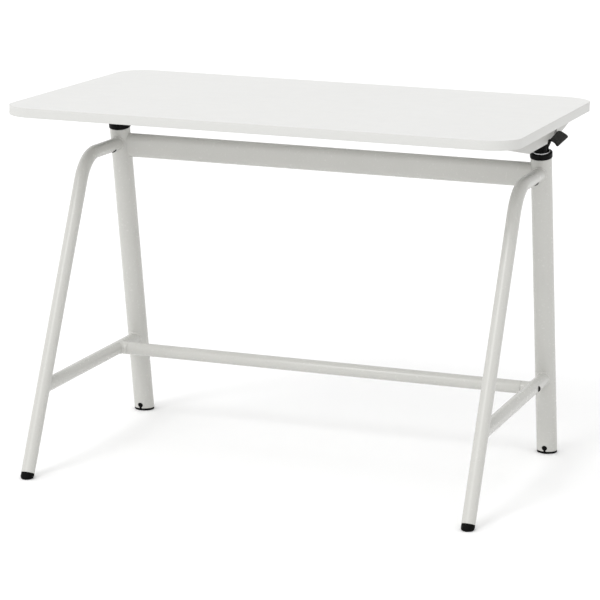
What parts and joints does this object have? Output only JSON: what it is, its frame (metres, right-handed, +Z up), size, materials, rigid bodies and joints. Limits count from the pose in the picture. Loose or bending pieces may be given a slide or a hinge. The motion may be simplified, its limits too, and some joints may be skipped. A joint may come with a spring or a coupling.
{
  "type": "drafting table",
  "caption": "Height-adjustable drafting table: round-cornered board on two leaning telescopic columns with bent front legs and a lift lever.",
  "frame": {"origin": "on the floor, under the centre of the whole table", "axes": "+X to the sitter's right, -Y towards the sitter, +Z up"},
  "size_m": [1, 0.6557, 0.717],
  "materials": {
    "frame_powder_coat": "fine-textured semi-matt powder coat, warm light grey",
    "arm_powder_coat": "semi-matt powder coat, light grey",
    "board_laminate": "matt off-white laminate on chipboard",
    "board_edge_band": "matt off-white edge band",
    "black_plastic": "moulded black nylon",
    "black_rubber": "moulded, dull",
    "lever_plastic": "fine-grained moulded black",
    "bright_steel": "bright plated steel",
    "zinc_screw": "zinc plated",
    "gas_cylinder_paint": "black painted tube",
    "cable_sheath": "black extruded sheath"
  },
  "bodies": {
    "base_frame": {"bar_screw_left": "zinc_screw", "bar_screw_right": "zinc_screw", "bar_stub_left": "frame_powder_coat", "bar_stub_right": "frame_powder_coat", "beam_screw_left_lower": "zinc_screw", "beam_screw_left_upper": "zinc_screw", "beam_screw_right_lower": "zinc_screw", "beam_screw_right_upper": "zinc_screw", "beam_spigot_left": "frame_powder_coat", "beam_spigot_right": "frame_powder_coat", "column_collar_left": "black_plastic", "column_collar_right": "black_plastic", "column_foot_left": "black_rubber", "column_foot_right": "black_rubber", "column_left": "frame_powder_coat", "column_right": "frame_powder_coat", "front_foot_left": "black_rubber", "front_foot_right": "black_rubber", "front_leg_left": "frame_powder_coat", "front_leg_right": "frame_powder_coat", "gas_cylinder_left": "gas_cylinder_paint", "gas_cylinder_right": "gas_cylinder_paint", "gas_gland_left": "bright_steel", "gas_gland_right": "bright_steel", "lower_bar": "frame_powder_coat", "side_rung_left": "frame_powder_coat", "side_rung_right": "frame_powder_coat", "upper_beam": "frame_powder_coat"},
    "lift": {"tabletop": "board_laminate", "edge_band": "board_edge_band", "release_cable": "cable_sheath", "lever_pin": "bright_steel", "rocker_pin": "bright_steel", "board_arm_left": "arm_powder_coat", "board_arm_right": "arm_powder_coat", "board_screw_left_front_inner": "zinc_screw", "board_screw_left_front_outer": "zinc_screw", "board_screw_left_rear_inner": "zinc_screw", "board_screw_left_rear_outer": "zinc_screw", "board_screw_right_front_inner": "zinc_screw", "board_screw_right_front_outer": "zinc_screw", "board_screw_right_rear_inner": "zinc_screw", "board_screw_right_rear_outer": "zinc_screw", "cable_clip_left": "black_plastic", "cable_clip_right": "black_plastic", "gas_rod_left": "bright_steel", "gas_rod_right": "bright_steel", "head_bolt_left": "zinc_screw", "head_bolt_right": "zinc_screw", "inner_glide_left": "black_plastic", "inner_glide_right": "black_plastic", "inner_tube_left": "bright_steel", "inner_tube_right": "bright_steel", "lift_head_left": "black_plastic", "lift_head_right": "black_plastic"},
    "lever": {"release_lever": "lever_plastic"},
    "rocker": {"cable_rocker": "lever_plastic"},
    "left_pin": {"valve_pin_left": "bright_steel"},
    "right_pin": {"valve_pin_right": "bright_steel"}
  },
  "joints": [
    {"name": "table_height", "type": "slide", "parent": "base_frame", "child": "lift", "axis": [0, -0.2267, 0.974], "range_m": [0, 0.4]},
    {"name": "lever_squeeze", "type": "hinge", "parent": "lift", "child": "lever", "pos_m": [0.449, 0.13006, 0.64477], "axis": [0, -0.974, -0.2267], "range_deg": [0, 12], "stiffness_Nm_per_rad": 0.8, "springref_deg": -14.32},
    {"name": "rocker_turn", "type": "hinge", "parent": "lift", "child": "rocker", "pos_m": [-0.449, 0.13006, 0.64477], "axis": [0, 0.974, 0.2267], "range_deg": [0, 12]},
    {"name": "left_pin_press", "type": "slide", "parent": "lift", "child": "left_pin", "axis": [0, 0.2267, -0.974], "range_m": [0, 0.0022]},
    {"name": "right_pin_press", "type": "slide", "parent": "lift", "child": "right_pin", "axis": [0, 0.2267, -0.974], "range_m": [0, 0.0022]}
  ],
  "couplings": [
    {"joint": "rocker_turn", "follows": "lever_squeeze", "ratio": 1},
    {"joint": "left_pin_press", "follows": "lever_squeeze", "m_per_rad": 0.0098},
    {"joint": "right_pin_press", "follows": "lever_squeeze", "m_per_rad": 0.0098}
  ]
}
